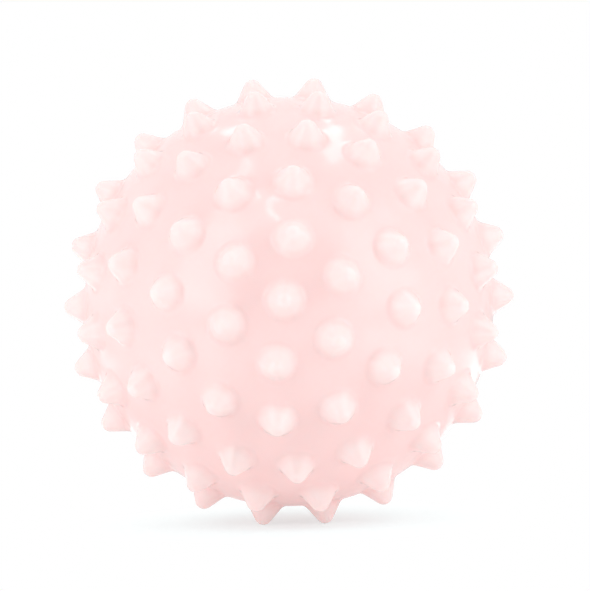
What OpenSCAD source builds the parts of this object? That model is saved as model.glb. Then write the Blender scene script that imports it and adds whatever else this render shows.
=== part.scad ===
// Sensory ball: a hollow soft ball covered in rounded cone spikes, with an air valve.
// Millimetres. +Z is up, and z = 0 is the surface that the ball stands on.
// The origin is the point of that surface right below the middle of the ball.
// The front spike points along -Y, and the air valve sits opposite it, at +Y.

/* [Ball] */
// Diameter of the ball between its spikes
body_d = 91; // [80:1:120]
// Thickness of the soft wall
wall = 2; // [1.6:0.1:3]

/* [Spikes] */
// Height of a spike above the ball
spike_h = 4.5; // [3.5:0.1:6]
// Radius of the rounded tip of a spike
tip_r = 2; // [1.4:0.1:2.2]
// Slope of a spike's side, measured from its own axis
side_angle = 33; // [24:1:35]
// Radius of the hollow curve round the foot of a spike
foot_r = 1.8; // [1:0.1:2]
// Number of spikes in each of the two widest rings
widest_ring = 22; // [18:1:24]

/* [Valve sleeve] */
// Length of the neck inside the ball that holds the sleeve
neck_len = 8.5; // [7:0.5:12]
// Thickness of the neck round the sleeve
neck_wall = 2.4; // [1.6:0.1:3.2]
// Radius of the sleeve where it passes through the neck
sleeve_r = 4; // [3.6:0.1:4.6]
// How far the outer flange and the inner lip of the sleeve stand out past it
sleeve_lip = 1.2; // [0.8:0.1:1.6]
// Thickness of the outer flange of the sleeve
flange_t = 1.6; // [1.4:0.1:2]
// Thickness of the inner lip of the sleeve
lip_t = 1.4; // [1:0.1:2]

/* [Stopper] */
// Radius of the hole that air goes in through
air_r = 1.5; // [1.2:0.1:1.8]
// Radius of the head of the stopper
head_r = 2.9; // [2.7:0.1:3.1]
// Thickness of the head of the stopper
head_t = 0.9; // [0.8:0.1:1]
// How far the stopper reaches past the inner end of the sleeve
nose_reach = 0.8; // [0.5:0.1:2]
// How far the stopper pulls out before it is clear of the valve
pull_spare = 1; // [0.5:0.5:4]

/* [Hidden] */
$fn = 48;

// Rings of spikes
// Equal steps from the front spike to the valve: both halves of the ball carry the same rings
ring_steps = 11;
step_angle = 180 / ring_steps;
// Turn of each ring about the ball's axis, as a share of the gap between its own spikes,
// from the front spike out to the widest ring
ring_turn_shares = [0, 0.35, 0.83, 0.85, 0.43, 0];

function half_ring(k) = min(k, ring_steps - k);
function ring_count(k) = k == 0 ? 1 : round(widest_ring * sin(k * step_angle));
function ring_turn(k) = ring_turn_shares[half_ring(k)] * 360 / ring_count(k);

// Tilt from the front axis and turn about it, for each spike of each ring
spike_places = [
    for (k = [0 : ring_steps - 1], i = [0 : ring_count(k) - 1])
        [k * step_angle, ring_turn(k) + i * 360 / ring_count(k)]
];

// Outline of a spike, drawn out from the middle of the ball
body_r = body_d / 2;
cavity_r = body_r - wall;
// Angles at which the round tip, the straight side, the hollow foot and the ball cross
side_cross = 5;
body_cross = 8;
tip_y = body_r + spike_h - tip_r;
side_out = [cos(side_angle), sin(side_angle)];
side_down = [sin(side_angle), -cos(side_angle)];
side_top = [0, tip_y] + tip_r * cos(side_cross) * side_out;
// The centre of the foot's curve lies off the side, and foot_reach from the middle of the ball
foot_start = side_top + foot_r * cos(side_cross) * side_out;
foot_reach = sqrt(body_r * body_r + foot_r * foot_r + 2 * body_r * foot_r * cos(body_cross));
foot_along = foot_start * side_down;
foot_slide = -foot_along - sqrt(foot_along * foot_along - foot_start * foot_start
    + foot_reach * foot_reach);
foot_c = foot_start + foot_slide * side_down;
side_end = foot_c - foot_r * cos(side_cross) * side_out;
// The root of a spike is sunk half way into the wall
root_y = body_r - wall / 2;
root_x = foot_c[0] * root_y / foot_c[1];

// The ball stands on its lowest spikes
function drop(place) = -sin(place[0]) * sin(place[1]);
rest_z = tip_y * max([for (place = spike_places) drop(place)]) + tip_r;

// Valve, measured along its axis from the middle of the ball
// Radial gap round the sleeve in its neck, and round the stopper in its sleeve
sleeve_gap = 0.05;
stopper_gap = 0.06;
// Overrun of a cut past the face that it opens
over = 0.5;
flange_r = sleeve_r + sleeve_lip;
// The sunk pad leaves a rim round the flange
pad_rim = 1.6;
pad_r = flange_r + pad_rim;
pad_sink = 0.5;
pad_y = sqrt(body_r * body_r - pad_r * pad_r) - pad_sink;
neck_r = sleeve_r + sleeve_gap + neck_wall;
neck_y = pad_y - neck_len;
sleeve_y = neck_y - lip_t;
// Stopper: a stem with two sealing beads, a tapered nose and a flat head
stem_r = air_r - stopper_gap;
bead_r = 0.3;
core_r = stem_r - bead_r / 2;
head_y = pad_y - head_t;
nose_y = sleeve_y - nose_reach;
nose_len = 1.6;
nose_tip_r = core_r / 2;
bead_share = [0.3, 0.6];
stem_len = head_y - nose_y;
// Scoop in the flange that a fingernail goes into, beside the head
scoop_r = 1.3;
pull_travel = pad_y - nose_y + pull_spare;

module at_ball_middle() {
    translate([0, 0, rest_z]) children();
}

module along_valve() {
    at_ball_middle() rotate([-90, 0, 0]) children();
}

module at_spikes() {
    for (place = spike_places) {
        rotate([90, 0, 0]) rotate([0, place[0], place[1]]) children();
    }
}

module spike_outline() {
    difference() {
        union() {
            polygon([[0, root_y], [root_x, root_y], foot_c, side_end, side_top, [0, tip_y]]);
            intersection() {
                translate([0, tip_y]) circle(r = tip_r);
                translate([0, tip_y - tip_r]) square([tip_r, 2 * tip_r]);
            }
        }
        translate(foot_c) circle(r = foot_r);
    }
}

module spike() {
    rotate_extrude() spike_outline();
}

// Hollow of the ball, with the valve's neck standing into it
module cavity() {
    difference() {
        at_ball_middle() sphere(r = cavity_r);
        along_valve() translate([0, 0, neck_y]) cylinder(r = neck_r, h = body_r - neck_y);
    }
}

// Pad, flange seat and bore that the sleeve goes into
module valve_hole() {
    along_valve() {
        translate([0, 0, pad_y]) cylinder(r = pad_r, h = body_r - pad_y + over);
        translate([0, 0, pad_y - flange_t])
            cylinder(r = flange_r + sleeve_gap, h = flange_t + over);
        translate([0, 0, neck_y - over])
            cylinder(r = sleeve_r + sleeve_gap, h = neck_len + over);
    }
}

// Soft moulded skin: one hollow piece with all its spikes and the valve's neck
module skin() {
    color([1, 0.89, 0.88])
    difference() {
        at_ball_middle() union() {
            sphere(r = body_r);
            at_spikes() spike();
        }
        cavity();
        valve_hole();
    }
}

// Rubber sleeve, snapped into the neck between its flange and its lip
module valve_sleeve() {
    color([0.97, 0.91, 0.89])
    along_valve() difference() {
        union() {
            translate([0, 0, pad_y - flange_t]) cylinder(r = flange_r, h = flange_t);
            translate([0, 0, neck_y]) cylinder(r = sleeve_r, h = neck_len - flange_t);
            translate([0, 0, sleeve_y]) cylinder(r1 = sleeve_r, r2 = flange_r, h = lip_t);
        }
        translate([0, 0, sleeve_y - over]) cylinder(r = air_r, h = pad_y - sleeve_y + 2 * over);
        translate([0, 0, head_y]) cylinder(r = head_r + stopper_gap, h = head_t + over);
        translate([head_r, 0, pad_y]) sphere(r = scoop_r);
    }
}

// Stopper: pulls straight out along the valve's axis
module stopper_plug() {
    color([0.99, 0.95, 0.93])
    along_valve() {
        translate([0, 0, head_y]) cylinder(r = head_r, h = head_t);
        translate([0, 0, nose_y + nose_len]) cylinder(r = core_r, h = stem_len - nose_len);
        translate([0, 0, nose_y]) cylinder(r1 = nose_tip_r, r2 = core_r, h = nose_len);
        for (share = bead_share) {
            translate([0, 0, head_y - share * stem_len])
                rotate_extrude() translate([stem_r - bead_r, 0]) circle(r = bead_r);
        }
    }
}

skin();
valve_sleeve();
stopper_plug();
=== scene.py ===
"""Sensory ball: its soft skin, its air valve and the studio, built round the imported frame."""

import math

import bpy
from mathutils import Matrix, Quaternion, Vector
from mathutils.kdtree import KDTree


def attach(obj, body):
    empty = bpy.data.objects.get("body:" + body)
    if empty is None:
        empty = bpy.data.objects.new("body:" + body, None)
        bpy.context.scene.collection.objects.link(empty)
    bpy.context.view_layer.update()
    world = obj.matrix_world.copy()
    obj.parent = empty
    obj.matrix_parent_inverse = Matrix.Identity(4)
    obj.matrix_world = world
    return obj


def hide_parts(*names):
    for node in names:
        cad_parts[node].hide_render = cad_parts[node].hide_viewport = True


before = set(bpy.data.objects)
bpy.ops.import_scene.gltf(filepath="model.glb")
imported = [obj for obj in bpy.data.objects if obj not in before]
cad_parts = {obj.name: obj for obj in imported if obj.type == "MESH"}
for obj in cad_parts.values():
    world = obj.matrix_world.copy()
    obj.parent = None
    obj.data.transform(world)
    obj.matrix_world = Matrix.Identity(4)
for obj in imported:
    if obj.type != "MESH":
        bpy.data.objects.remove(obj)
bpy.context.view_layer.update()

bl_info = {
    "name": "Sensory ball",
    "version": (1, 0, 0),
    "blender": (4, 5, 0),
    "location": "3D View > Sidebar > Sensory ball",
    "description": "Soft ball covered in rounded cone spikes, with an air valve in its back",
    "category": "Add Mesh",
}

MM = 0.001

# Two points closer than this are the same point
SAME = 2e-6
# A point this share of the radius off the ball still lies on it
ON_BALL_SHARE = 3.8e-5
# A vertex this near a loop's angle, seen from the ball's middle, belongs to the loop
LOOP_SLACK = math.radians(0.05)
# Bare strip that the net of points leaves round each foot and round the valve
NET_CLEAR = math.radians(0.9)
NET_SUBDIVISIONS = 6

# Sides of the turned pieces and steps of their arcs, fine enough that no flat shows from a step away
SPIKE_SIDES = 20
VALVE_SIDES = 64
SCOOP_SIDES = 40
FOOT_STEPS = 3
TIP_STEPS = 4
EDGE_STEPS = 3
BEAD_STEPS = 6
HOLLOW_STEPS = 30
# Faces that meet at less than this are shaded as one smooth surface
SMOOTH_ANGLE = math.radians(40)

# Turn of each ring, as a share of the gap between its own spikes, from the front to the widest ring
RING_TURN_SHARES = [0, 0.35, 0.83, 0.85, 0.43, 0]
# Places of the sealing beads along the stem, as shares of its length from the head
BEAD_SHARES = (0.6, 0.3)

# The span that a noise pattern's values mostly keep to
NOISE_SPAN = {"From Min": 0.3, "From Max": 0.7}

FLOOR_RADIUS = 2.5
FLOOR_SIDES = 96
# Each lamp's name, place, size across and up, power in watts, and turn in its own plane in degrees.
# The two tall ones give the pale bands at the sides, the others the small highlights near the top.
LAMPS = (
    ("lamp_left", (-0.54, -0.58, 0.18), (0.44, 1.0), 1.85, 0),
    ("lamp_right", (0.66, -0.45, 0.15), (0.56, 1.35), 2.5, 0),
    ("lamp_over_left", (-0.27, 0.14, 0.94), (0.08, 0.75), 0.43, -60),
    ("lamp_over_right", (0.27, 0.19, 0.93), (0.07, 0.56), 0.35, 61),
    ("lamp_front_strip", (-0.12, -0.585, 0.8), (0.02, 0.33), 0.2, 14),
)
SENSOR_WIDTH = 36
# The ball stands a little left of the middle of the frame and a little below it
FRAME_SHIFT = (0.0097, 0.0102)
# Nearest and farthest that the camera sees
CLIP_RANGE = (0.01, 20)


def linear(hex_colour):
    """An sRGB hex colour as the linear red, green and blue that Blender works in."""
    parts = [int(hex_colour[i : i + 2], 16) / 255 for i in (1, 3, 5)]
    return tuple(p / 12.92 if p <= 0.04045 else ((p + 0.055) / 1.055) ** 2.4 for p in parts)


def length(name, description, millimetres):
    """A length that the sidebar shows in the scene's unit."""
    return bpy.props.FloatProperty(
        name=name,
        description=description,
        default=millimetres * MM,
        min=0,
        unit="LENGTH",
        subtype="DISTANCE",
        precision=5,
    )


def angle(name, description, degrees):
    """An angle that the sidebar shows in degrees."""
    return bpy.props.FloatProperty(
        name=name,
        description=description,
        default=math.radians(degrees),
        unit="ROTATION",
        subtype="ANGLE",
    )


def whole(name, description, number, least, most):
    """A whole number within its limits."""
    return bpy.props.IntProperty(
        name=name, description=description, default=number, min=least, max=most
    )


def level(name, description, number, most=10):
    """A plain number from zero up."""
    return bpy.props.FloatProperty(
        name=name, description=description, default=number, min=0, max=most
    )


def colour(name, description, hex_colour):
    """A colour that the sidebar shows as a swatch."""
    return bpy.props.FloatVectorProperty(
        name=name,
        description=description,
        default=linear(hex_colour),
        min=0,
        max=1,
        size=3,
        subtype="COLOR",
    )


class BallSizes(bpy.types.PropertyGroup):
    """Sizes of the ball and its spikes."""

    ball_diameter: length("Ball diameter", "Across the ball between its spikes", 91)
    wall: length("Wall", "Thickness of the soft wall", 2)
    spike_height: length("Spike height", "Height of a spike above the ball", 4.5)
    tip_radius: length("Tip radius", "Radius of a spike's rounded tip", 2)
    foot_radius: length("Foot radius", "Radius of the hollow curve round a spike's foot", 1.8)
    side_angle: angle("Side angle", "Slope of a spike's side, from the spike's own axis", 33)
    widest_ring: whole("Widest ring", "Spikes in each of the two widest rings", 22, 12, 30)
    # The turns of the rings are listed for eleven steps
    ring_steps: whole("Ring steps", "Equal steps from the front spike to the valve", 11, 7, 11)


class ValveSizes(bpy.types.PropertyGroup):
    """Sizes of the neck, the sleeve and the stopper, measured along the valve."""

    pad_sink: length("Pad depth", "Depth of the sunk pad round the valve", 0.5)
    pad_rim: length("Pad rim", "Width of the pad outside the sleeve's flange", 1.6)
    neck_length: length("Neck length", "Length of the neck that holds the sleeve", 8.5)
    neck_wall: length("Neck wall", "Thickness of the neck round the sleeve", 2.4)
    sleeve_radius: length("Sleeve radius", "Radius of the sleeve in its neck", 4)
    sleeve_lip: length("Sleeve lip", "How far the flange and the inner lip stand out", 1.2)
    sleeve_gap: length("Sleeve gap", "Radial gap round the sleeve", 0.05)
    flange_thickness: length("Flange thickness", "Thickness of the outer flange", 1.6)
    lip_thickness: length("Lip thickness", "Thickness of the inner lip", 1.4)
    air_radius: length("Air hole radius", "Radius of the hole that air goes in through", 1.5)
    head_radius: length("Head radius", "Radius of the stopper's head", 2.9)
    head_thickness: length("Head thickness", "Thickness of the stopper's head", 0.9)
    stopper_gap: length("Stopper gap", "Radial gap round the stopper", 0.06)
    bead_radius: length("Bead radius", "Radius of the stopper's sealing beads", 0.3)
    nose_reach: length("Nose reach", "How far the stopper passes the sleeve's inner end", 0.8)
    nose_length: length("Nose length", "Length of the stopper's tapered nose", 1.6)
    scoop_radius: length("Scoop radius", "Radius of the fingernail scoop beside the head", 1.3)
    soft_edge: length("Soft edge", "Rounding of the moulded edges", 0.25)


class Finishes(bpy.types.PropertyGroup):
    """Colours of the three materials."""

    # Skin and Spikes are one vinyl pink with painted shade and painted light: darker on the ball
    # between the spikes, paler up the spikes
    skin: colour("Skin", "Soft vinyl where its wall is thin, between the spikes", "#FFDBD9")
    spikes: colour("Spikes", "Soft vinyl where it is thick, at the tips of the spikes", "#FFE8E6")
    sleeve: colour("Sleeve", "Rubber of the valve's sleeve", "#F7E6E2")
    stopper: colour("Stopper", "Plastic of the stopper", "#FBF2EE")


class Studio(bpy.types.PropertyGroup):
    """Camera, lamps and floor."""

    camera_distance: length("Camera distance", "From the middle of the ball to the camera", 495.5)
    camera_side: angle("Camera side", "How far round to the right it stands", 1.17)
    camera_lift: angle("Camera lift", "How far above the middle of the ball it stands", -0.25)
    camera_roll: angle("Camera roll", "How far it is rolled clockwise", 1.48)
    lens: bpy.props.FloatProperty(
        name="Lens", description="Focal length on a 36 mm wide sensor", default=135.4, unit="CAMERA"
    )
    room_light: level("Room light", "Strength of the light from all round", 0.92)
    dark_side: level("Dark side", "Share of it that comes from the photographer's side", 0.45, 1)
    dark_mirror: level("Dark mirror", "The same share, as shiny surfaces mirror it", 0.12, 1)
    lamp_light: level("Lamp light", "Scales the power of all the lamps", 1.0)


def spike_places(sizes):
    """Tilt from the front axis and turn about it, for each spike of each ring."""
    places = []
    for ring in range(sizes.ring_steps):
        tilt = ring * math.pi / sizes.ring_steps
        count = round(sizes.widest_ring * math.sin(tilt)) or 1
        turn = RING_TURN_SHARES[min(ring, sizes.ring_steps - ring)]
        places += [(tilt, (turn + i) * math.tau / count) for i in range(count)]
    return places


def spike_turn(tilt, turn):
    """The rotation that takes a spike from +Z to its place."""
    to_front = Matrix.Rotation(math.pi / 2, 4, "X")
    return to_front @ Matrix.Rotation(turn, 4, "Z") @ Matrix.Rotation(tilt, 4, "Y")


def spike_axes(sizes):
    """Unit vectors from the ball's middle to the tips of its spikes."""
    return [spike_turn(*place).to_3x3() @ Vector((0, 0, 1)) for place in spike_places(sizes)]


def ball_middle(sizes):
    """The ball stands on its lowest spikes, on z = 0."""
    tip_reach = sizes.ball_diameter / 2 + sizes.spike_height - sizes.tip_radius
    return Vector((0, 0, max(-axis.z for axis in spike_axes(sizes)) * tip_reach + sizes.tip_radius))


def arc(centre, radius, start, end, steps):
    """Points of a circle from one angle to another, both ends included."""
    angles = [start + (end - start) * i / steps for i in range(steps + 1)]
    middle = Vector(centre)
    return [middle + radius * Vector((math.cos(a), math.sin(a))) for a in angles]


def rounded(corners):
    """An outline from corners, each a radius from the axis, a height and a rounding."""
    outline = []
    for i, (x, y, rounding) in enumerate(corners):
        corner = Vector((x, y))
        if not rounding or i in (0, len(corners) - 1):
            outline.append(corner)
            continue
        to_last = (Vector(corners[i - 1][:2]) - corner).normalized()
        to_next = (Vector(corners[i + 1][:2]) - corner).normalized()
        half = to_last.angle(to_next) / 2
        back = rounding / math.tan(half)
        centre = corner + (to_last + to_next).normalized() * rounding / math.sin(half)
        first, last = corner + to_last * back - centre, corner + to_next * back - centre
        swing = first.angle_signed(last)
        start = math.atan2(first.y, first.x)
        outline += arc(centre, rounding, start, start - swing, EDGE_STEPS)
    return outline


def spike_outline(sizes):
    """From the ball, up the hollow foot and the straight side, to the top of the round tip."""
    body = sizes.ball_diameter / 2
    tip_centre = Vector((0, body + sizes.spike_height - sizes.tip_radius))
    outward = Vector((math.cos(sizes.side_angle), math.sin(sizes.side_angle)))
    down = Vector((math.sin(sizes.side_angle), -math.cos(sizes.side_angle)))
    side_top = tip_centre + sizes.tip_radius * outward
    # The foot's curve touches both the side and the ball
    start = side_top + sizes.foot_radius * outward
    reach = body + sizes.foot_radius
    along = start.dot(down)
    foot_centre = start + down * (-along - math.sqrt(along**2 - start.length_squared + reach**2))
    to_ball = math.atan2(-foot_centre.y, -foot_centre.x)
    to_side = math.atan2(-outward.y, -outward.x)
    foot = arc(foot_centre, sizes.foot_radius, to_ball, to_side, FOOT_STEPS)
    tip = arc(tip_centre, sizes.tip_radius, sizes.side_angle, math.pi / 2, TIP_STEPS)
    tip[-1].x = 0
    return foot + [(foot[-1] + tip[0]) / 2] + tip


def nothing_selected():
    """Leaves edit mode and selects nothing."""
    if bpy.context.object and bpy.context.object.mode != "OBJECT":
        bpy.ops.object.mode_set(mode="OBJECT")
    bpy.ops.object.select_all(action="DESELECT")


def only(piece):
    """Selects one piece and makes it the active one."""
    nothing_selected()
    piece.select_set(True)
    bpy.context.view_layer.objects.active = piece


def named(name):
    """Names the piece that was just added, and its mesh."""
    piece = bpy.context.object
    piece.name = piece.data.name = name
    return piece


def spun(name, outline, sides):
    """Draws an outline beside the Z axis point by point and spins it right round."""
    nothing_selected()
    bpy.ops.mesh.primitive_plane_add(size=MM, location=(0, 0, 0))
    piece = named(name)
    bpy.ops.object.mode_set(mode="EDIT")
    bpy.ops.mesh.select_all(action="SELECT")
    bpy.ops.mesh.merge(type="CENTER")
    bpy.ops.transform.translate(value=(outline[0].x, 0, outline[0].y))
    for last, point in zip(outline, outline[1:]):
        step = point - last
        bpy.ops.mesh.extrude_region_move(TRANSFORM_OT_translate={"value": (step.x, 0, step.y)})
    bpy.ops.mesh.select_all(action="SELECT")
    bpy.ops.mesh.spin(steps=sides, angle=math.tau, center=(0, 0, 0), axis=(0, 0, 1))
    bpy.ops.mesh.select_all(action="SELECT")
    bpy.ops.mesh.remove_doubles(threshold=SAME)
    bpy.ops.mesh.normals_make_consistent(inside=False)
    bpy.ops.object.mode_set(mode="OBJECT")
    return piece


def put(piece, matrix):
    """Moves a piece and applies the move to its mesh, so that its object stays at the origin."""
    only(piece)
    piece.matrix_world = matrix
    bpy.ops.object.transform_apply(location=True, rotation=True, scale=True)


def joined(pieces):
    """Joins pieces into the first of them."""
    nothing_selected()
    for piece in pieces:
        piece.select_set(True)
    bpy.context.view_layer.objects.active = pieces[0]
    bpy.ops.object.join()
    return bpy.context.object


def select_where(piece, kind, test):
    """Selects only the vertices or faces that pass the test, ready for edit mode."""
    only(piece)
    bpy.ops.object.mode_set(mode="EDIT")
    bpy.ops.mesh.select_mode(type={"vertices": "VERT", "polygons": "FACE"}[kind])
    bpy.ops.mesh.select_all(action="DESELECT")
    bpy.ops.object.mode_set(mode="OBJECT")
    for item in getattr(piece.data, kind):
        item.select = test(item)
    bpy.ops.object.mode_set(mode="EDIT")


def volume(piece):
    """Signed volume of a closed mesh: below zero if its faces point inwards."""
    mesh = piece.data
    mesh.calc_loop_triangles()
    total = 0
    for triangle in mesh.loop_triangles:
        a, b, c = (mesh.vertices[i].co for i in triangle.vertices)
        total += a.dot(b.cross(c)) / 6
    return total


def check_closed(piece):
    """Stops the script if a piece has an open edge or is inside out."""
    uses = {}
    for face in piece.data.polygons:
        for key in face.edge_keys:
            uses[key] = uses.get(key, 0) + 1
    loose = sum(count != 2 for count in uses.values())
    if loose or volume(piece) <= 0:
        raise RuntimeError(f"{piece.name}: {loose} open edges, or it is inside out")


def dress(piece, node, body, finish):
    """Gives a finished piece its shading, its material and its place in the frame."""
    check_closed(piece)
    only(piece)
    bpy.ops.object.shade_smooth_by_angle(angle=SMOOTH_ANGLE)
    piece.data.materials.clear()
    piece.data.materials.append(finish)
    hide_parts(node)
    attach(piece, body)


def valve_frame(sizes):
    """Heights along the valve start at the middle of the ball; the valve points along +Y."""
    return Matrix.Translation(ball_middle(sizes)) @ Matrix.Rotation(-math.pi / 2, 4, "X")


def valve_levels(ball, valve):
    """Radii and heights that the neck, the sleeve and the stopper share."""
    flange = valve.sleeve_radius + valve.sleeve_lip
    pad = flange + valve.pad_rim
    top = math.sqrt((ball.ball_diameter / 2) ** 2 - pad**2) - valve.pad_sink
    neck = top - valve.neck_length
    return {
        "flange": flange,
        "pad": pad,
        "top": top,
        "neck": neck,
        "sleeve": neck - valve.lip_thickness,
        "nose": neck - valve.lip_thickness - valve.nose_reach,
    }


def lining_outline(ball, valve):
    """From the rim of the valve's pad, down through the neck and round the hollow of the ball."""
    body, hollow = ball.ball_diameter / 2, ball.ball_diameter / 2 - ball.wall
    at = valve_levels(ball, valve)
    # The ball's own surface starts where the rounding of the pad's edge ends
    rim = at["pad"] + 1.5 * valve.soft_edge
    seat = at["flange"] + valve.sleeve_gap
    bore = valve.sleeve_radius + valve.sleeve_gap
    neck = bore + valve.neck_wall
    edge = valve.soft_edge
    corners = [
        (rim, math.sqrt(body**2 - rim**2), 0),
        (at["pad"], math.sqrt(body**2 - at["pad"] ** 2), edge),
        (at["pad"], at["top"], edge),
        (seat, at["top"], edge / 2),
        (seat, at["top"] - valve.flange_thickness, 0),
        (bore, at["top"] - valve.flange_thickness, 0),
        (bore, at["neck"], edge),
        (neck, at["neck"], edge),
        (neck, math.sqrt(hollow**2 - neck**2), 0),
    ]
    start = math.acos(neck / hollow)
    round_hollow = arc((0, 0), hollow, start, -math.pi / 2, HOLLOW_STEPS)
    round_hollow[-1].x = 0
    # The first corner only aims the rounding of the rim
    return rounded(corners)[1:] + round_hollow[1:]


def build_skin(ball, valve):
    """One closed hollow mesh: a net of points on the ball is hulled between the spikes' feet."""
    body = ball.ball_diameter / 2
    outline = spike_outline(ball)
    foot = math.atan2(outline[0].x, outline[0].y)

    # One spike, copied to each of its places
    spike = spun("spike", outline, SPIKE_SIDES)
    spikes = []
    for place in spike_places(ball):
        twin = spike.copy()
        twin.data = spike.data.copy()
        bpy.context.collection.objects.link(twin)
        twin.matrix_world = spike_turn(*place)
        spikes.append(twin)
    bpy.data.objects.remove(spike)

    # Neck and hollow, spun round the valve's axis
    inner_outline = lining_outline(ball, valve)
    rim = math.atan2(inner_outline[0].x, inner_outline[0].y)
    lining = spun("lining", inner_outline, VALVE_SIDES)
    put(lining, Matrix.Rotation(-math.pi / 2, 4, "X"))

    # Even points on the ball, kept where neither a spike nor the valve stands
    axes = KDTree(len(spikes))
    for i, axis in enumerate(spike_axes(ball)):
        axes.insert(axis, i)
    axes.balance()

    def from_axis(direction):
        point, i, distance = axes.find(direction)
        return i, 2 * math.asin(distance / 2)

    def from_valve(direction):
        return direction.angle(Vector((0, 1, 0)))

    nothing_selected()
    bpy.ops.mesh.primitive_ico_sphere_add(
        subdivisions=NET_SUBDIVISIONS, radius=body, location=(0, 0, 0)
    )
    net = named("net")

    def covered(vertex):
        direction = vertex.co.normalized()
        to_foot, to_rim = from_axis(direction)[1] - foot, from_valve(direction) - rim
        return min(to_foot, to_rim) < NET_CLEAR

    select_where(net, "vertices", covered)
    bpy.ops.mesh.delete(type="VERT")
    bpy.ops.mesh.select_all(action="SELECT")
    bpy.ops.mesh.delete(type="EDGE_FACE")
    nothing_selected()

    skin = joined([net] + spikes + [lining])
    bpy.ops.object.transform_apply(location=True, rotation=True, scale=True)
    skin.name = skin.data.name = "soft_skin"

    def on_ball(vertex):
        return abs(vertex.co.length - body) < ON_BALL_SHARE * body

    # The hull of all the points on the ball, less the caps that it lays over the feet and the pad
    select_where(skin, "vertices", on_ball)
    bpy.ops.mesh.convex_hull(
        delete_unused=False, use_existing_faces=False, make_holes=False, join_triangles=False
    )
    bpy.ops.object.mode_set(mode="OBJECT")
    # The foot, or the rim, whose loop each vertex belongs to
    loop_of = {}
    for vertex in filter(on_ball, skin.data.vertices):
        direction = vertex.co.normalized()
        spike_number, off_axis = from_axis(direction)
        if abs(off_axis - foot) < LOOP_SLACK:
            loop_of[vertex.index] = spike_number
        elif abs(from_valve(direction) - rim) < LOOP_SLACK:
            loop_of[vertex.index] = "rim"

    def cap(face):
        """All its corners are on one loop."""
        loops = {loop_of.get(i) for i in face.vertices}
        return len(loops) == 1 and None not in loops

    select_where(skin, "polygons", cap)
    bpy.ops.mesh.delete(type="FACE")
    bpy.ops.mesh.select_mode(type="VERT")
    bpy.ops.mesh.select_all(action="SELECT")
    bpy.ops.mesh.remove_doubles(threshold=SAME)
    bpy.ops.mesh.normals_make_consistent(inside=False)
    bpy.ops.object.mode_set(mode="OBJECT")
    put(skin, Matrix.Translation(ball_middle(ball)))
    return skin


def build_sleeve(ball, valve):
    """Rubber sleeve: flange, shank and snap-in lip round the air hole, with the head's recess."""
    at = valve_levels(ball, valve)
    recess = valve.head_radius + valve.stopper_gap
    edge = valve.soft_edge
    corners = [
        (valve.air_radius, (at["top"] + at["neck"]) / 2, 0),
        (valve.air_radius, at["top"] - valve.head_thickness, edge / 2),
        (recess, at["top"] - valve.head_thickness, edge / 3),
        (recess, at["top"], edge / 2),
        (at["flange"], at["top"], edge),
        (at["flange"], at["top"] - valve.flange_thickness, edge),
        (valve.sleeve_radius, at["top"] - valve.flange_thickness, 0),
        (valve.sleeve_radius, at["neck"], 0),
        (at["flange"], at["neck"], edge),
        (valve.sleeve_radius, at["sleeve"], edge),
        (valve.air_radius, at["sleeve"], edge),
        (valve.air_radius, (at["top"] + at["neck"]) / 2, 0),
    ]
    sleeve = spun("valve_sleeve_soft", rounded(corners), VALVE_SIDES)
    put(sleeve, valve_frame(ball))

    # A scoop beside the head lets a fingernail in under it
    nothing_selected()
    place = valve_frame(ball) @ Vector((valve.head_radius, 0, at["top"]))
    bpy.ops.mesh.primitive_uv_sphere_add(
        segments=SCOOP_SIDES,
        ring_count=SCOOP_SIDES // 2,
        radius=valve.scoop_radius,
        location=place,
    )
    scoop = named("scoop")
    only(sleeve)
    bpy.ops.object.modifier_add(type="BOOLEAN")
    cut = sleeve.modifiers[-1]
    cut.operation, cut.solver, cut.object = "DIFFERENCE", "EXACT", scoop
    bpy.ops.object.modifier_apply(modifier=cut.name)
    bpy.data.objects.remove(scoop)
    return sleeve


def build_stopper(ball, valve):
    """Stopper: a tapered nose, a stem with two sealing beads and a flat head with a rounded edge."""
    at = valve_levels(ball, valve)
    stem = valve.air_radius - valve.stopper_gap
    core = stem - valve.bead_radius / 2
    under_head = at["top"] - valve.head_thickness
    edge = valve.soft_edge
    outline = rounded(
        [
            (0, at["nose"], 0),
            (core / 2, at["nose"], edge),
            (core, at["nose"] + valve.nose_length, 0),
        ]
    )
    for share in BEAD_SHARES:
        bead = (stem - valve.bead_radius, under_head - share * (under_head - at["nose"]))
        outline += arc(bead, valve.bead_radius, -math.pi / 3, math.pi / 3, BEAD_STEPS)
    outline += rounded(
        [
            (core, under_head - valve.bead_radius, 0),
            (core, under_head, edge / 2),
            (valve.head_radius, under_head, edge / 2),
            (valve.head_radius, at["top"], edge),
            (0, at["top"], 0),
        ]
    )
    stopper = spun("stopper_moulded", outline, VALVE_SIDES)
    put(stopper, valve_frame(ball))
    return stopper


def add_node(tree, kind, settings=None, links=None):
    """Adds a node, sets its properties and its sockets' values, and links its sockets."""
    node = tree.nodes.new(kind)
    for name, value in (settings or {}).items():
        if isinstance(name, str) and hasattr(node, name):
            setattr(node, name, value)
        else:
            node.inputs[name].default_value = value
    for name, source in (links or {}).items():
        tree.links.new(source, node.inputs[name])
    return node


def new_material(name):
    """An empty node material."""
    material = bpy.data.materials.new(name)
    material.use_nodes = True
    material.node_tree.nodes.clear()
    return material


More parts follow.
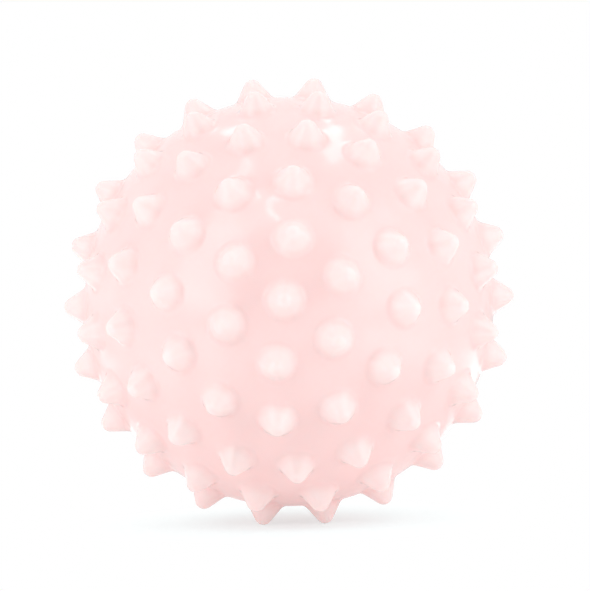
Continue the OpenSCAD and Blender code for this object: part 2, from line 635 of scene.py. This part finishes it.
def soft_vinyl(ball, finishes):
    """Soft PVC, cast in a turning mould: satin and a little see-through, with painted shade between
    the spikes and painted light up them.
    """
    material = new_material("soft_pvc_rotocast")
    tree = material.node_tree
    middle = ball_middle(ball)
    body = ball.ball_diameter / 2
    place = add_node(tree, "ShaderNodeTexCoord")
    centred = add_node(
        tree,
        "ShaderNodeVectorMath",
        {"operation": "SUBTRACT", 1: middle},
        {0: place.outputs["Object"]},
    )
    reach = add_node(
        tree, "ShaderNodeVectorMath", {"operation": "LENGTH"}, {0: centred.outputs[0]}
    )
    # How far a point is raised up its spike, from just under the ball's surface to 0.4 of a spike's
    # height. It sets the painted shade between the spikes, the painted light up them and the duller
    # tips.
    raised = add_node(
        tree,
        "ShaderNodeMapRange",
        {"From Min": body - 0.1 * MM, "From Max": body + 0.4 * ball.spike_height},
        {"Value": reach.outputs["Value"]},
    )
    # Painted shade and light: the darker skin colour on the ball between the spikes blends to the
    # paler spikes colour up each spike
    painted_shade_to_light = add_node(
        tree,
        "ShaderNodeMix",
        {"data_type": "RGBA", 6: (*finishes.skin, 1), 7: (*finishes.spikes, 1)},
        {0: raised.outputs["Result"]},
    )
    # The wall is a little uneven over 20 mm or so, as it is in a cast ball
    cloud = add_node(
        tree,
        "ShaderNodeTexNoise",
        {"Scale": 1 / (20 * MM), "Detail": 2.0, "Roughness": 0.5},
        {"Vector": place.outputs["Object"]},
    )
    unevenness = add_node(
        tree,
        "ShaderNodeMapRange",
        {**NOISE_SPAN, "To Min": 0.975, "To Max": 1.015},
        {"Value": cloud.outputs["Fac"]},
    )
    tinted = add_node(
        tree,
        "ShaderNodeMix",
        {"data_type": "RGBA", "blend_type": "MULTIPLY", 0: 1.0},
        {6: painted_shade_to_light.outputs[2], 7: unevenness.outputs["Result"]},
    )
    # The mould is lightly blasted: grains of about 0.3 mm, drawn at 0.5 mm so that they show
    grain = add_node(
        tree,
        "ShaderNodeTexNoise",
        {"Scale": 1 / (0.5 * MM), "Detail": 2.0, "Roughness": 0.6},
        {"Vector": place.outputs["Object"]},
    )
    gloss = add_node(
        tree,
        "ShaderNodeMapRange",
        {**NOISE_SPAN, "To Min": 0.11, "To Max": 0.15},
        {"Value": grain.outputs["Fac"]},
    )
    # Handling has dulled the spikes
    worn = add_node(
        tree,
        "ShaderNodeMapRange",
        {"To Max": 0.265},
        {"Value": raised.outputs["Result"], "To Min": gloss.outputs["Result"]},
    )
    bump = add_node(
        tree,
        "ShaderNodeBump",
        {"Strength": 0.05, "Distance": 0.04 * MM},
        {"Height": grain.outputs["Fac"]},
    )
    surface = add_node(
        tree,
        "ShaderNodeBsdfPrincipled",
        {
            "IOR": 1.55,
            "Subsurface Weight": 0.35,
            "Subsurface Radius": (1.0, 0.45, 0.4),
            "Subsurface Scale": 1.5 * MM,
        },
        {
            "Base Color": tinted.outputs[2],
            "Roughness": worn.outputs["Result"],
            "Normal": bump.outputs["Normal"],
        },
    )
    add_node(tree, "ShaderNodeOutputMaterial", links={"Surface": surface.outputs["BSDF"]})
    return material


def valve_rubber(finishes):
    """Moulded rubber: matt, with a very fine tooth."""
    material = new_material("moulded_rubber")
    tree = material.node_tree
    place = add_node(tree, "ShaderNodeTexCoord")
    tooth = add_node(
        tree,
        "ShaderNodeTexNoise",
        {"Scale": 1 / (0.3 * MM), "Detail": 3.0},
        {"Vector": place.outputs["Object"]},
    )
    shade = add_node(
        tree,
        "ShaderNodeMapRange",
        {**NOISE_SPAN, "To Min": 0.96, "To Max": 1.02},
        {"Value": tooth.outputs["Fac"]},
    )
    tinted = add_node(
        tree,
        "ShaderNodeMix",
        {"data_type": "RGBA", "blend_type": "MULTIPLY", 0: 1.0, 6: (*finishes.sleeve, 1)},
        {7: shade.outputs["Result"]},
    )
    bump = add_node(
        tree,
        "ShaderNodeBump",
        {"Strength": 0.2, "Distance": 0.03 * MM},
        {"Height": tooth.outputs["Fac"]},
    )
    surface = add_node(
        tree,
        "ShaderNodeBsdfPrincipled",
        {
            "IOR": 1.52,
            "Roughness": 0.6,
            "Subsurface Weight": 0.15,
            "Subsurface Radius": (1, 0.8, 0.7),
            "Subsurface Scale": MM,
        },
        {"Base Color": tinted.outputs[2], "Normal": bump.outputs["Normal"]},
    )
    add_node(tree, "ShaderNodeOutputMaterial", links={"Surface": surface.outputs["BSDF"]})
    return material


def stopper_plastic(finishes):
    """Injection-moulded polyethylene: waxy, its gloss a little uneven over a millimetre or so."""
    material = new_material("moulded_polyethylene")
    tree = material.node_tree
    place = add_node(tree, "ShaderNodeTexCoord")
    wax = add_node(
        tree,
        "ShaderNodeTexNoise",
        {"Scale": 1 / (1.2 * MM), "Detail": 2.0},
        {"Vector": place.outputs["Object"]},
    )
    gloss = add_node(
        tree,
        "ShaderNodeMapRange",
        {**NOISE_SPAN, "To Min": 0.3, "To Max": 0.42},
        {"Value": wax.outputs["Fac"]},
    )
    bump = add_node(
        tree,
        "ShaderNodeBump",
        {"Strength": 0.1, "Distance": 0.03 * MM},
        {"Height": wax.outputs["Fac"]},
    )
    surface = add_node(
        tree,
        "ShaderNodeBsdfPrincipled",
        {
            "Base Color": (*finishes.stopper, 1),
            "IOR": 1.51,
            "Subsurface Weight": 0.3,
            "Subsurface Radius": (1, 0.9, 0.85),
            "Subsurface Scale": MM,
        },
        {"Roughness": gloss.outputs["Result"], "Normal": bump.outputs["Normal"]},
    )
    add_node(tree, "ShaderNodeOutputMaterial", links={"Surface": surface.outputs["BSDF"]})
    return material


def paper_floor():
    """Seamless white paper: the camera sees it plain white but for the ball's soft shadow."""
    material = new_material("matt_paper_sweep")
    tree = material.node_tree
    rays = add_node(tree, "ShaderNodeLightPath")
    paper = add_node(tree, "ShaderNodeBsdfDiffuse", {"Color": (0.8, 0.8, 0.8, 1)})
    # The paper glows for the ball but not for the camera, though it is no lamp: a painted glow that
    # lights the ball from below, softly under it and more towards four corners
    place = add_node(tree, "ShaderNodeTexCoord")
    reach = add_node(
        tree, "ShaderNodeVectorMath", {"operation": "LENGTH"}, {0: place.outputs["Object"]}
    )
    under = add_node(
        tree,
        "ShaderNodeMapRange",
        {
            "From Min": 30 * MM,
            "From Max": 70 * MM,
            "To Min": 0.27,
            "To Max": 0.0,
            "interpolation_type": "SMOOTHSTEP",
        },
        {"Value": reach.outputs["Value"]},
    )
    mirrored = add_node(
        tree, "ShaderNodeVectorMath", {"operation": "ABSOLUTE"}, {0: place.outputs["Object"]}
    )
    from_corner = add_node(
        tree,
        "ShaderNodeVectorMath",
        {"operation": "DISTANCE", 1: (110 * MM, 105 * MM, 0)},
        {0: mirrored.outputs[0]},
    )
    corner = add_node(
        tree,
        "ShaderNodeMapRange",
        {
            "From Min": 20 * MM,
            "From Max": 100 * MM,
            "To Min": 1.1,
            "To Max": 0.0,
            "interpolation_type": "SMOOTHSTEP",
        },
        {"Value": from_corner.outputs["Value"]},
    )
    unseen_glow = add_node(
        tree,
        "ShaderNodeMath",
        {"operation": "ADD"},
        {0: under.outputs[0], 1: corner.outputs[0]},
    )
    glow = add_node(
        tree, "ShaderNodeEmission", {"Color": (1, 1, 1, 1)}, {"Strength": unseen_glow.outputs[0]}
    )
    lit = add_node(tree, "ShaderNodeAddShader", links={0: paper.outputs[0], 1: glow.outputs[0]})
    # Less red than it is green and blue, because the ball above it throws pink light into its shadow
    shadowed = add_node(tree, "ShaderNodeBsdfDiffuse", {"Color": (0.49, 0.62, 0.63, 1)})
    lift = add_node(tree, "ShaderNodeEmission", {"Color": (1, 1, 1, 1), "Strength": 0.48})
    near = add_node(
        tree, "ShaderNodeAddShader", links={0: shadowed.outputs[0], 1: lift.outputs[0]}
    )
    # From 18 to 48 mm out the camera's view of the paper fades to plain white, painted light that
    # covers the outer part of the ball's shadow; beyond that the paper is as white as the room behind
    # it, so no edge shows between them
    white = add_node(tree, "ShaderNodeEmission", {"Color": (1, 1, 1, 1), "Strength": 1.0})
    far = add_node(
        tree,
        "ShaderNodeMapRange",
        {"From Min": 18 * MM, "From Max": 48 * MM, "interpolation_type": "SMOOTHSTEP"},
        {"Value": reach.outputs["Value"]},
    )
    seen = add_node(
        tree,
        "ShaderNodeMixShader",
        links={0: far.outputs[0], 1: near.outputs[0], 2: white.outputs[0]},
    )
    surface = add_node(
        tree,
        "ShaderNodeMixShader",
        links={0: rays.outputs["Is Camera Ray"], 1: lit.outputs[0], 2: seen.outputs[0]},
    )
    add_node(tree, "ShaderNodeOutputMaterial", links={"Surface": surface.outputs[0]})
    return material


def white_room(strength, dark_side, dark_mirror):
    """Light from all round, dimmer from the photographer's side; the camera sees it as plain white."""
    world = bpy.data.worlds.new("white_room")
    bpy.context.scene.world = world
    world.use_nodes = True
    tree = world.node_tree
    tree.nodes.clear()
    rays = add_node(tree, "ShaderNodeLightPath")
    seen = add_node(
        tree,
        "ShaderNodeMath",
        {"operation": "MAXIMUM"},
        {0: rays.outputs["Is Camera Ray"], 1: rays.outputs["Is Transmission Ray"]},
    )
    # The side that the front spike points at is the darker one, to about 40 degrees round:
    # the cosine from that side runs from 0.68 at its edge to 0.84 where it is darkest
    place = add_node(tree, "ShaderNodeTexCoord")
    facing = add_node(
        tree,
        "ShaderNodeVectorMath",
        {"operation": "DOT_PRODUCT", 1: (0, -1, 0)},
        {0: place.outputs["Generated"]},
    )
    # Shiny surfaces mirror that side darker than it lights, which sets off the pale bands beside it
    share = add_node(
        tree,
        "ShaderNodeMapRange",
        {"To Min": dark_side, "To Max": dark_mirror},
        {"Value": rays.outputs["Is Glossy Ray"]},
    )
    dim = add_node(
        tree,
        "ShaderNodeMapRange",
        {
            "From Min": 0.68,
            "From Max": 0.84,
            "To Min": 1.0,
            "interpolation_type": "SMOOTHSTEP",
        },
        {"Value": facing.outputs["Value"], "To Max": share.outputs["Result"]},
    )
    # Shiny surfaces see the room as white as the camera does
    all_round = add_node(
        tree,
        "ShaderNodeMapRange",
        {"To Min": strength, "To Max": 1.0},
        {"Value": rays.outputs["Is Glossy Ray"]},
    )
    power = add_node(
        tree,
        "ShaderNodeMath",
        {"operation": "MULTIPLY"},
        {0: dim.outputs[0], 1: all_round.outputs[0]},
    )
    light = add_node(
        tree, "ShaderNodeBackground", {"Color": (1, 1, 1, 1)}, {"Strength": power.outputs[0]}
    )
    white = add_node(tree, "ShaderNodeBackground", {"Color": (1, 1, 1, 1), "Strength": 1.0})
    surface = add_node(
        tree,
        "ShaderNodeMixShader",
        links={0: seen.outputs[0], 1: light.outputs[0], 2: white.outputs[0]},
    )
    add_node(tree, "ShaderNodeOutputWorld", links={"Surface": surface.outputs[0]})


def softbox(name, place, target, size, watts, turn):
    """A rectangular lamp that faces the ball, turned by some degrees in its own plane."""
    lamp = bpy.data.lights.new(name, "AREA")
    lamp.shape, lamp.energy = "RECTANGLE", watts
    lamp.size, lamp.size_y = size
    piece = bpy.data.objects.new(name, lamp)
    bpy.context.collection.objects.link(piece)
    piece.location = place
    facing = (Vector(target) - Vector(place)).to_track_quat("-Z", "Y")
    piece.rotation_euler = (facing @ Quaternion((0, 0, 1), math.radians(turn))).to_euler()


class MakeSkin(bpy.types.Operator):
    """Build the soft hollow skin with its spikes and the valve's neck"""

    bl_idname = "object.spiked_ball_skin"
    bl_label = "Spiked skin"

    def execute(self, context):
        scene = context.scene
        skin = build_skin(scene.ball_sizes, scene.valve_sizes)
        dress(skin, "skin", "ball", soft_vinyl(scene.ball_sizes, scene.ball_finishes))
        return {"FINISHED"}


class MakeSleeve(bpy.types.Operator):
    """Build the rubber sleeve of the valve"""

    bl_idname = "object.spiked_ball_sleeve"
    bl_label = "Valve sleeve"

    def execute(self, context):
        scene = context.scene
        sleeve = build_sleeve(scene.ball_sizes, scene.valve_sizes)
        dress(sleeve, "valve_sleeve", "ball", valve_rubber(scene.ball_finishes))
        return {"FINISHED"}


class MakeStopper(bpy.types.Operator):
    """Build the stopper that closes the valve"""

    bl_idname = "object.spiked_ball_stopper"
    bl_label = "Stopper"

    def execute(self, context):
        scene = context.scene
        stopper = build_stopper(scene.ball_sizes, scene.valve_sizes)
        dress(stopper, "stopper_plug", "stopper", stopper_plastic(scene.ball_finishes))
        return {"FINISHED"}


class MakeStudio(bpy.types.Operator):
    """Build the floor, the lamps, the white room and the camera"""

    bl_idname = "object.spiked_ball_studio"
    bl_label = "Studio"

    def execute(self, context):
        scene = context.scene
        studio = scene.ball_studio
        middle = ball_middle(scene.ball_sizes)

        nothing_selected()
        bpy.ops.mesh.primitive_circle_add(
            vertices=FLOOR_SIDES, radius=FLOOR_RADIUS, fill_type="NGON", location=(0, 0, 0)
        )
        floor = named("paper_floor")
        floor.data.materials.append(paper_floor())
        white_room(studio.room_light, studio.dark_side, studio.dark_mirror)
        for name, place, size, watts, turn in LAMPS:
            softbox(name, place, middle, size, watts * studio.lamp_light, turn)

        data = bpy.data.cameras.new("camera")
        data.sensor_fit, data.sensor_width, data.lens = "HORIZONTAL", SENSOR_WIDTH, studio.lens
        data.shift_x, data.shift_y = FRAME_SHIFT
        data.clip_start, data.clip_end = CLIP_RANGE
        camera = bpy.data.objects.new("camera", data)
        context.collection.objects.link(camera)
        side, lift = studio.camera_side, studio.camera_lift
        level_back = Vector((math.sin(side), -math.cos(side), 0))
        back = level_back * math.cos(lift) + Vector((0, 0, math.sin(lift)))
        camera.rotation_mode = "QUATERNION"
        camera.location = middle + back * studio.camera_distance
        look = (-back).to_track_quat("-Z", "Y").to_matrix()
        roll = Matrix.Rotation(-studio.camera_roll, 3, "Z")
        camera.rotation_quaternion = (look @ roll).to_quaternion()
        scene.camera = camera
        scene.view_settings.view_transform = "Standard"
        return {"FINISHED"}


class BallPanel(bpy.types.Panel):
    """Sizes, colours and build buttons"""

    bl_idname = "VIEW3D_PT_spiked_ball"
    bl_label = "Sensory ball"
    bl_space_type = "VIEW_3D"
    bl_region_type = "UI"
    bl_category = "Sensory ball"

    def draw(self, context):
        for operator in OPERATORS:
            self.layout.operator(operator.bl_idname)
        for name, group in GROUPS.items():
            box = self.layout.box()
            for prop in group.__annotations__:
                box.prop(getattr(context.scene, name), prop)


OPERATORS = (MakeSkin, MakeSleeve, MakeStopper, MakeStudio)
GROUPS = {
    "ball_sizes": BallSizes,
    "valve_sizes": ValveSizes,
    "ball_finishes": Finishes,
    "ball_studio": Studio,
}


def register():
    """Adds the panel, its buttons and the sizes to Blender."""
    for group in (*GROUPS.values(), *OPERATORS, BallPanel):
        bpy.utils.register_class(group)
    for name, group in GROUPS.items():
        setattr(bpy.types.Scene, name, bpy.props.PointerProperty(type=group))


def unregister():
    """Takes them out again."""
    for name in GROUPS:
        delattr(bpy.types.Scene, name)
    for group in (BallPanel, *reversed(OPERATORS), *reversed(GROUPS.values())):
        bpy.utils.unregister_class(group)


def main():
    """Builds the whole scene."""
    register()
    bpy.ops.object.spiked_ball_skin()
    bpy.ops.object.spiked_ball_sleeve()
    bpy.ops.object.spiked_ball_stopper()
    bpy.ops.object.spiked_ball_studio()


if __name__ == "__main__":
    main()
